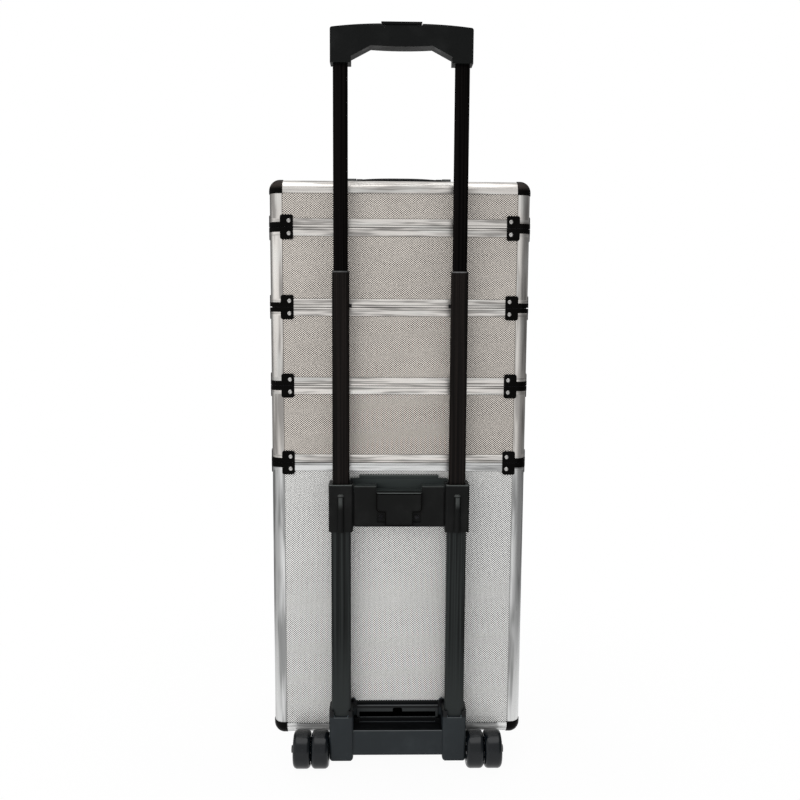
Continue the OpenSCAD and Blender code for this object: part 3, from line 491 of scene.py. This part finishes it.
def steel_material(name, dull, bright):
    """Plated steel with fine scratches."""
    s = Shader(name, bright, metallic=1.0, roughness=0.26)
    scratches = s.noise(s.stretched(300, 900, 300), detail=4.0, rough=0.7)
    cloud = s.noise(s.place, scale=120.0, detail=2.0)
    s.set("Base Color", s.mix(s.ramp(cloud, 0.35, 0.7), dull, bright))
    s.set("Roughness", s.ramp(scratches, 0.3, 0.7, 0.2, 0.36))
    s.bump(scratches, distance=0.00003, strength=0.4)
    return s.mat


def rubber_material(name, colour, dusty):
    """Smooth wheel rubber with a fine grain and dusty places."""
    s = Shader(name, colour, roughness=0.18, specular=0.42)
    cloud = s.noise(s.place, scale=45.0, detail=4.0, rough=0.6)
    grains = s.noise(s.place, scale=1800.0, detail=2.0)
    s.set("Base Color", s.mix(s.ramp(cloud, 0.5, 0.85), colour, dusty))
    s.set("Roughness", s.ramp(cloud, 0.3, 0.8, 0.16, 0.26))
    s.bump(grains, distance=0.00003, strength=0.4)
    return s.mat


def lining_material(name, dark, pale):
    """Black lining: a short napped cloth bonded to the panel."""
    s = Shader(name, (0.02, 0.02, 0.022), roughness=0.85, specular=0.2)
    nap = s.noise(s.place, scale=1100.0, detail=3.0, rough=0.7)
    cloud = s.noise(s.place, scale=20.0, detail=3.0)
    s.set("Base Color", s.mix(s.ramp(cloud, 0.4, 0.75), dark, pale))
    s.set("Roughness", s.ramp(nap, 0.3, 0.7, 0.78, 0.95))
    s.bump(nap, distance=0.0002, strength=0.6)
    return s.mat


# Where a moulding has it, the factor after its specular sets the painted highlight on its edges that face up
base_plastic = plastic_material("base_plastic", (0.013, 0.0168, 0.0196), rough=0.42, specular=0.26, highlight_factor=6.0,
                                patches=BASE_PATCHES)
bracket_plastic = plastic_material("bracket_plastic", (0.0052, 0.0055, 0.0054), rough=0.4, specular=0.1,
                                   highlight_factor=11.0, patches=BRACKET_PATCHES)
corner_plastic = plastic_material("corner_plastic", (0.0012, 0.001, 0.0009), rough=0.36, specular=0.05,
                                  highlight_factor=26.0)
grip_plastic = plastic_material("grip_plastic", (0.0045, 0.005, 0.005), rough=0.44, specular=0.1,
                                patches=GRIP_PATCHES, grain=1100.0)
tube_low = tube_material("outer_tube", (0.0118, 0.0135, 0.0135), specular=0.1)
tube_mid = tube_material("middle_tube", (0.0052, 0.004, 0.0036), specular=0.08)
tube_up = tube_material("inner_tube", (0.002, 0.0016, 0.0016), specular=0.025)
steel = steel_material("nickel_steel", dull=(0.58, 0.57, 0.55), bright=(0.76, 0.75, 0.73))
dark_steel = steel_material("black_steel", dull=(0.012, 0.012, 0.013), bright=(0.03, 0.03, 0.032))
collar_steel = steel_material("collar_steel", dull=(0.1, 0.1, 0.1), bright=(0.2, 0.2, 0.2))
rubber = rubber_material("wheel_rubber", (0.0024, 0.0038, 0.0054), dusty=(0.0072, 0.0086, 0.0105))
lining = lining_material("black_lining", dark=(0.016, 0.016, 0.018), pale=(0.032, 0.032, 0.035))

# The bottom case's panels and frame are cool silver, and those of the shells over it warmer
COOL = {"light": (1.0, 1.0, 0.985), "dark": (0.005, 0.005, 0.005), "cut": (-0.2, -0.06)}
WARM = {"light": (0.92, 0.855, 0.785), "dark": (0.008, 0.006, 0.005), "cut": (-0.12, 0.06)}
TINT_COOL = (0.8, 0.805, 0.8)
TINT_WARM = (0.87, 0.83, 0.79)


def paint(name, material):
    nodes[name].data.materials[0] = material


def paint_shell(shell, above):
    """Gives a shell its materials; above is the shell that stands on it, or None for the lid."""
    first = shell == SHELLS[0]
    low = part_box(shell + "_frame")[0].z
    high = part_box(above + "_frame")[0].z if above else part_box(shell + "_frame")[1].z
    low_band = POST_W if first else RAIL_H
    high_band = RAIL_H if above else POST_W
    joints = ([] if first else [low]) + ([high] if above else [])
    paint(shell + "_frame", aluminium_material("aluminium_" + shell, low, high, low_band, high_band,
                                               TINT_COOL if first else TINT_WARM, joints,
                                               foot=low + POST_W if first else 0.0))
    paint(shell + "_panels", panel_material("panel_" + shell, low=low + low_band, high=high - high_band,
                                            **(COOL if first else WARM)))
    paint(shell + "_corners", corner_plastic)
    paint(shell + "_rivets", steel)
    if above:
        paint(shell + "_floor", lining)
    else:
        paint("lid_top", panel_material("panel_lid_top", low=low, high=high, inside=1.0, **WARM))


for shell, above in zip(SHELLS, (*SHELLS[1:], None)):
    paint_shell(shell, above)

HASPS = [name for name in nodes if "_hasp_" in name]
LATCHES = [name for name in nodes if name.endswith(("_latch_plates", "_strikes"))]
FINISH = {
    base_plastic: ("base_frame", "left_front_foot", "right_front_foot"),
    bracket_plastic: ("tube_bracket", "carry_handle_mounts"),
    grip_plastic: ("grip", "release_button", "carry_handle"),
    tube_low: ("outer_tubes",),
    tube_mid: ("middle_tubes",),
    tube_up: ("inner_tubes",),
    steel: ("push_rods", *LATCHES, *HASPS),
    dark_steel: ("lock_pins", "trolley_screws", "left_axle", "right_axle"),
    collar_steel: ("tube_collars",),
    rubber: WHEELS,
}
for material, names in FINISH.items():
    for name in names:
        paint(name, material)


# Rounded edges on the CAD pieces

EDGE_ANGLE = math.radians(35)
WELD = 0.000002
# Width of the round, its steps, and the pieces that have it
ROUNDED = (
    (0.0004, 2, [shell + "_corners" for shell in SHELLS]),
    (0.0007, 2, ("base_frame", "tube_bracket", "left_front_foot", "right_front_foot")),
    (0.0012, 3, ("grip", "carry_handle")),
    (0.0006, 2, ("release_button", "carry_handle_mounts")),
    (0.00035, 2, HASPS + LATCHES),
)


def round_edges(name, width, segments):
    node = nodes[name]
    weld = node.modifiers.new("weld", "WELD")
    weld.merge_threshold = WELD
    bevel = node.modifiers.new("round", "BEVEL")
    bevel.width = width
    bevel.segments = segments
    bevel.limit_method = "ANGLE"
    bevel.angle_limit = EDGE_ANGLE
    bevel.use_clamp_overlap = True
    flat = node.modifiers.new("flat", "WEIGHTED_NORMAL")
    flat.keep_sharp = False
    for face in node.data.polygons:
        face.use_smooth = True


for width, segments, names in ROUNDED:
    for name in names:
        round_edges(name, width, segments)


# Meshes for the small pieces made here

def lathe(bm, profile, origin, axis, sides):
    """Adds a closed body of revolution; profile lists (along the axis, radius) from one end to the other."""
    first = axis.orthogonal().normalized()
    second = axis.cross(first)
    rings = []
    for along, radius in profile:
        centre = origin + axis * along
        if radius == 0:
            rings.append([bm.verts.new(centre)])
            continue
        ring = []
        for k in range(sides):
            angle = 2 * math.pi * k / sides
            ring.append(bm.verts.new(centre + (first * math.cos(angle) + second * math.sin(angle)) * radius))
        rings.append(ring)
    for low, high in zip(rings, rings[1:]):
        for k in range(sides):
            corners = []
            for vert in (low[k % len(low)], low[(k + 1) % len(low)],
                         high[(k + 1) % len(high)], high[k % len(high)]):
                if vert not in corners:
                    corners.append(vert)
            bm.faces.new(corners)


def tube_of_rings(bm, rings):
    """Joins rings of as many points each to a closed tube, the last ring with the first."""
    for index, low in enumerate(rings):
        high = rings[(index + 1) % len(rings)]
        for k in range(len(low)):
            after = (k + 1) % len(low)
            bm.faces.new((low[k], low[after], high[after], high[k]))


def box_body(bm, corners):
    """A closed block from its eight corners, the lower four first."""
    verts = [bm.verts.new(corner) for corner in corners]
    for face in ((3, 2, 1, 0), (4, 5, 6, 7), (0, 1, 5, 4), (1, 2, 6, 5), (2, 3, 7, 6), (3, 0, 4, 7)):
        bm.faces.new([verts[i] for i in face])


def finish_mesh(name, bm, material, body, replaced, smooth):
    """Makes the piece, smooth over edges of up to that many degrees, and ties it to its body."""
    bmesh.ops.recalc_face_normals(bm, faces=bm.faces)
    mesh = bpy.data.meshes.new(name)
    bm.to_mesh(mesh)
    bm.free()
    mesh.materials.append(material)
    piece = bpy.data.objects.new(name, mesh)
    scene.collection.objects.link(piece)
    for face in mesh.polygons:
        face.use_smooth = True
    mesh.set_sharp_from_angle(angle=math.radians(smooth))
    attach(piece, body)
    if replaced:
        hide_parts(replaced)


# Rivet heads

# Points of the CAD mesh closer than this are one
SAME = 0.00002
RIVET_H = 0.001
RIVET_WIDER = 1.12
RIVET_SIDES = 20
# Half section of a head: height over the bracket and radius, in shares of its own size
RIVET = ((-0.3, 0.0), (-0.3, 0.98), (0.25, 1.0), (0.55, 0.93), (0.82, 0.78), (0.97, 0.56), (1.0, 0.44),
         (0.9, 0.36), (0.62, 0.3), (0.5, 0.2), (0.46, 0.0))


def solids(name):
    """Boxes of the separate solids of a CAD node, as (low corner, high corner)."""
    bm = bmesh.new()
    bm.from_mesh(nodes[name].data)
    bmesh.ops.remove_doubles(bm, verts=bm.verts, dist=SAME)
    todo = set(bm.verts)
    boxes = []
    while todo:
        stack = [todo.pop()]
        found = list(stack)
        while stack:
            for edge in stack.pop().link_edges:
                for vert in edge.verts:
                    if vert in todo:
                        todo.remove(vert)
                        found.append(vert)
                        stack.append(vert)
        boxes.append((Vector([min(v.co[i] for v in found) for i in range(3)]),
                      Vector([max(v.co[i] for v in found) for i in range(3)])))
    bm.free()
    return sorted(boxes, key=lambda pair: tuple(round(c, 5) for c in pair[0]))


def rivet_heads(shell):
    bm = bmesh.new()
    for low, high in solids(shell + "_rivets"):
        size = high - low
        foot = (low + high) / 2
        # A rivet is thinnest along its own axis
        thin = 0 if size.x < size.y else 1
        side = 1.0 if foot[thin] > (0, MID_Y)[thin] else -1.0
        outward = Vector((0, 0, 0))
        outward[thin] = side
        foot[thin] = (high if side > 0 else low)[thin] - side * RIVET_H
        radius = size.z / 2 * RIVET_WIDER
        profile = [(along * RIVET_H, share * radius) for along, share in RIVET]
        lathe(bm, profile, foot, outward, RIVET_SIDES)
    finish_mesh("rivets_" + shell, bm, steel, BODY_OF[shell], shell + "_rivets", smooth=55)


for shell in SHELLS:
    rivet_heads(shell)


# Wheels: a tyre round a hub with spokes

TYRE_SIDES = 96
HUB_SIDES = 72
# Radius of a tyre's shoulder, in shares of its width, and the steps of the round in degrees
SHOULDER = 0.25
SHOULDER_STEPS = range(0, 91, 10)
SPOKES = 6
# Ends of a spoke in shares of the radius, its half width in shares of the wheel's, and its half thickness
SPOKE_ENDS = (0.28, 0.53)
SPOKE_WIDE = 0.4
SPOKE_HALF = 0.0011
# Section of a hub, as shares of the wheel's width and radius
HUB = ((0.06, 0.17), (0.06, 0.30), (0.16, 0.34), (0.16, 0.50), (0.06, 0.55), (0.06, 0.60), (0.11, 0.612),
       (0.89, 0.612), (0.94, 0.60), (0.94, 0.55), (0.84, 0.50), (0.84, 0.34), (0.94, 0.30), (0.94, 0.17))


def tyre_section(width, radius):
    """Section of a tyre, as shares of its width and radius, from the hub's edge over the tread and back."""
    rise = SHOULDER * width / radius
    half = [(0.10, 0.60), (0.02, 0.64)]
    for angle in map(math.radians, SHOULDER_STEPS):
        half.append((SHOULDER * (1 - math.cos(angle)), 1 - rise + rise * math.sin(angle)))
    return half + [(1 - along, share) for along, share in reversed(half)]


def ring_body(bm, section, origin, width, radius, sides):
    """A closed ring: the section swept round X."""
    rings = []
    for along, share in section:
        ring = []
        for k in range(sides):
            angle = 2 * math.pi * k / sides
            outward = Vector((0, math.cos(angle), math.sin(angle))) * share * radius
            ring.append(bm.verts.new(origin + Vector(((along - 0.5) * width, 0, 0)) + outward))
        rings.append(ring)
    tube_of_rings(bm, rings)


def wheel(name):
    low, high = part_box(name)
    middle = (low + high) / 2
    width = high.x - low.x
    radius = (high.z - low.z) / 2
    bm = bmesh.new()
    ring_body(bm, tyre_section(width, radius), middle, width, radius, TYRE_SIDES)
    finish_mesh(name + "_tyre", bm, rubber, name, name, smooth=50)
    bm = bmesh.new()
    ring_body(bm, HUB, middle, width, radius, HUB_SIDES)
    for k in range(SPOKES):
        turn = Matrix.Rotation(2 * math.pi * k / SPOKES, 3, "X")
        corners = []
        for share in SPOKE_ENDS:
            for side_x, side_y in ((-1, -1), (1, -1), (1, 1), (-1, 1)):
                point = Vector((side_x * SPOKE_WIDE * width, side_y * SPOKE_HALF, share * radius))
                corners.append(middle + turn @ point)
        box_body(bm, corners)
    finish_mesh(name + "_hub", bm, base_plastic, name, None, smooth=35)


for name in WHEELS:
    wheel(name)


# Painted shade: a dark band in the seam round the bracket's raised T

SEAM_W = 0.0016
SEAM_HALF = 0.0003
# How far behind the ribs the seam lies, which is just before the T's face
SEAM_IN = 0.004


def tee_outline():
    """The T's sides and foot seen from behind, as (x, z), from its upper left to its upper right corner."""
    left = [(-TEE_HALF, TEE_TOP), (-TEE_HALF, TEE_STEP + TEE_CUT), (-TEE_HALF + TEE_CUT, TEE_STEP),
            (-STEM_HALF, TEE_STEP), (-STEM_HALF, TEE_FOOT)]
    return [Vector(point) for point in left + [(-x, z) for x, z in reversed(left)]]


def moved_in(outline, inset):
    """The outline's points, each moved in along the mean of the normals of the lines that meet there."""
    moved = []
    for index, here in enumerate(outline):
        before = outline[max(index - 1, 0)]
        after = outline[min(index + 1, len(outline) - 1)]
        outward = Vector((0, 0))
        for start, end in ((before, here), (here, after)):
            along = end - start
            if along.length > 0:
                outward += Vector((along.y, -along.x)).normalized()
        moved.append(here - outward.normalized() * inset)
    return moved


def tee_seam_shade():
    """A flat closed band just inside the T's sides and foot."""
    outline = tee_outline()
    bm = bmesh.new()
    rows = []
    for y in (BRACKET_LOW.y + SEAM_IN + SEAM_HALF, BRACKET_LOW.y + SEAM_IN - SEAM_HALF):
        for points in (outline, moved_in(outline, SEAM_W)):
            rows.append([bm.verts.new((x, y, z)) for x, z in points])
    last = len(outline) - 1
    deep_rim, deep_in, near_rim, near_in = rows
    for k in range(last):
        for low, high in ((deep_rim, deep_in), (deep_in, near_in), (near_in, near_rim), (near_rim, deep_rim)):
            bm.faces.new((low[k], low[k + 1], high[k + 1], high[k]))
    for k in (0, last):
        bm.faces.new((deep_rim[k], deep_in[k], near_in[k], near_rim[k]))
    finish_mesh("bracket_seam_shade", bm, corner_plastic, "bottom_case", None, smooth=30)


tee_seam_shade()


# Painted shade: a black strip in the open line over each shell but the lid

# Radius of the case's upright edges, how far in the strip starts, and its depth, foot and top at the joint
EDGE_R = 0.014
STRIP_IN = 0.0014
STRIP_DEPTH = 0.0034
STRIP_FOOT = 0.0005
STRIP_TOP = 0.0004
CORNER_STEPS = 8


def rounded_loop(inset):
    """Points (x, y) round the case's outline, moved in by inset."""
    radius = EDGE_R - inset
    points = []
    for quarter, (side_x, side_y) in enumerate(((1, 1), (-1, 1), (-1, -1), (1, -1))):
        for k in range(CORNER_STEPS + 1):
            angle = math.pi / 2 * (quarter + k / CORNER_STEPS)
            points.append((side_x * (HALF_W - EDGE_R) + radius * math.cos(angle),
                           MID_Y + side_y * (HALF_D - EDGE_R) + radius * math.sin(angle)))
    return points


def joint_shade_strip(shell, above):
    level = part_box(above + "_frame")[0].z
    foot = level - STRIP_FOOT
    top = level + STRIP_TOP
    outer = rounded_loop(STRIP_IN)
    inner = rounded_loop(STRIP_IN + STRIP_DEPTH)
    bm = bmesh.new()
    tube_of_rings(bm, [[bm.verts.new((x, y, z)) for x, y in loop]
                       for loop, z in ((outer, foot), (outer, top), (inner, top), (inner, foot))])
    finish_mesh("joint_shade_strip_" + shell, bm, lining, BODY_OF[shell], None, smooth=30)


for shell, above in zip(SHELLS, SHELLS[1:]):
    joint_shade_strip(shell, above)


# Studio

MIDDLE = Vector((0, MID_Y, 0.45))


def area_lamp(name, place, width, height, power, colour=(1, 1, 1)):
    """A soft lamp aimed at the case's middle; gloss sees the studio that the world draws instead of it."""
    data = bpy.data.lights.new(name, "AREA")
    data.shape = "RECTANGLE"
    data.size = width
    data.size_y = height
    data.energy = power
    data.color = colour
    lamp = bpy.data.objects.new(name, data)
    lamp.location = place
    lamp.rotation_euler = (MIDDLE - Vector(place)).to_track_quat("-Z", "Y").to_euler()
    lamp.visible_glossy = False
    scene.collection.objects.link(lamp)


area_lamp("key", (-1.4, -2.0, 1.15), 1.8, 2.0, power=40, colour=(1.0, 0.985, 0.965))
area_lamp("fill", (1.7, -1.7, 0.9), 1.8, 2.0, power=9, colour=(0.97, 0.985, 1.0))
area_lamp("top", (0.0, 0.1, 2.6), 1.6, 1.6, power=6)
area_lamp("rear_left", (-1.5, 1.8, 2.2), 1.3, 1.3, power=20)
area_lamp("rear_right", (1.5, 1.8, 2.2), 1.3, 1.3, power=20)

# Brightness of the wall that gloss sees on the left, in the world and over the floor further out
WALL = 0.98
FLOOR_WALL = 0.42
# Brightness of the world where neither the camera nor gloss looks at it
FILL = 0.46


def studio(g, direction, wall):
    """What gloss sees towards a direction: a wall on the left, a dim one on the right, the backdrop ahead.

    Each ramp goes by one part of the unit direction, between the two places where a wall ends and the next
    starts, and from the brightness of the one to that of the other.
    """
    x, y, z = g.split(direction)
    left = g.ramp(x, -0.85, -0.3, wall, 0.81)
    front = g.ramp(x, 0.05, 0.9, left, 0.2)
    ahead = g.ramp(g.absolute(x), 0.12, 0.34, 0.9, 0.22)
    walls = g.ramp(y, -0.15, 0.45, front, ahead)
    level = g.multiply(walls, g.ramp(z, -0.1, 0.22, 1.0, 0.76))
    # Softbox overhead, which ends over the case
    over = g.ramp(y, 0.0, 0.35, 1.7, 0.7)
    return g.ramp(z, 0.78, 0.9, level, over)


def make_world():
    """A white backdrop for the camera, the studio for gloss, and an even soft light for the rest."""
    world = bpy.data.worlds.new("studio")
    scene.world = world
    world.use_nodes = True
    g = Graph(world.node_tree)
    path = g.node("ShaderNodeLightPath").outputs
    gloss = studio(g, g.node("ShaderNodeTexCoord").outputs["Generated"], WALL)
    soft = g.switch(g.highest(path["Is Glossy Ray"], path["Is Transmission Ray"]), FILL, gloss)
    background = g.node("ShaderNodeBackground")
    g.feed(background, "Color", (1, 1, 1, 1))
    g.feed(background, "Strength", g.switch(path["Is Camera Ray"], soft, 1.0))
    g.feed(g.node("ShaderNodeOutputWorld"), "Surface", background.outputs[0])


FLOOR_R = 9.0
FLOOR_SIDES = 64
# Just under the wheels, so that they don't cut it
FLOOR_Z = -0.0002


def floor_material():
    """Pale paint that keeps the case's shadow near it and turns into the white backdrop further out."""
    material = bpy.data.materials.new("floor")
    material.use_nodes = True
    g = Graph(material.node_tree)
    coat = g.node("ShaderNodeBsdfPrincipled")
    g.feed(coat, "Base Color", (0.86, 0.86, 0.86, 1))
    g.feed(coat, "Roughness", 0.7)
    g.feed(coat, "Specular IOR Level", 0.1)
    path = g.node("ShaderNodeLightPath").outputs
    place = g.node("ShaderNodeTexCoord").outputs["Object"]
    measure = g.node("ShaderNodeVectorMath", operation="LENGTH")
    g.feed(measure, 0, place)
    length = measure.outputs["Value"]
    aim = g.node("ShaderNodeVectorMath", operation="NORMALIZE")
    g.feed(aim, 0, place)
    seen = g.highest(path["Is Camera Ray"], path["Is Glossy Ray"], path["Is Transmission Ray"])
    # Gloss sees the floor pale near the case, and further out as it sees the studio over it
    far = g.ramp(length, 0.25, 0.9, 0.74, studio(g, aim.outputs["Vector"], FLOOR_WALL))
    glow = g.node("ShaderNodeEmission")
    g.feed(glow, "Strength", g.switch(path["Is Glossy Ray"], 1.0, far))
    both = g.node("ShaderNodeMixShader")
    g.feed(both, 0, g.multiply(seen, g.ramp(length, 0.1, 0.8, 0.96, 1.0)))
    g.feed(both, 1, coat.outputs[0])
    g.feed(both, 2, glow.outputs[0])
    g.feed(g.node("ShaderNodeOutputMaterial"), "Surface", both.outputs[0])
    return material


def make_floor():
    mesh = bpy.data.meshes.new("floor")
    bm = bmesh.new()
    bmesh.ops.create_circle(bm, cap_ends=True, segments=FLOOR_SIDES, radius=FLOOR_R)
    bm.to_mesh(mesh)
    bm.free()
    mesh.materials.append(floor_material())
    floor = bpy.data.objects.new("floor", mesh)
    floor.location.z = FLOOR_Z
    scene.collection.objects.link(floor)


make_world()
make_floor()


# Camera, at the photograph's viewing angle

PHOTO_PIXELS = 800
FOCAL_PIXELS = 880.4
SENSOR = 36.0
SHIFT_X = 0.003
SHIFT_Y = 0.0094
CAMERA_PLACE = (-0.0249, -1.2704, 0.6365)
YAW = math.radians(-1.118)
PITCH = math.radians(6.738)
ROLL = math.radians(0.323)

camera_data = bpy.data.cameras.new("camera")
camera_data.sensor_width = SENSOR
camera_data.lens = SENSOR * FOCAL_PIXELS / PHOTO_PIXELS
camera_data.shift_x = SHIFT_X
camera_data.shift_y = SHIFT_Y
camera = bpy.data.objects.new("camera", camera_data)
level_view = Matrix.Rotation(YAW, 4, "Z") @ Matrix.Rotation(math.pi / 2 - PITCH, 4, "X")
camera.matrix_world = Matrix.Translation(CAMERA_PLACE) @ level_view @ Matrix.Rotation(ROLL, 4, "Z")
scene.collection.objects.link(camera)
scene.camera = camera
scene.view_settings.view_transform = "Standard"
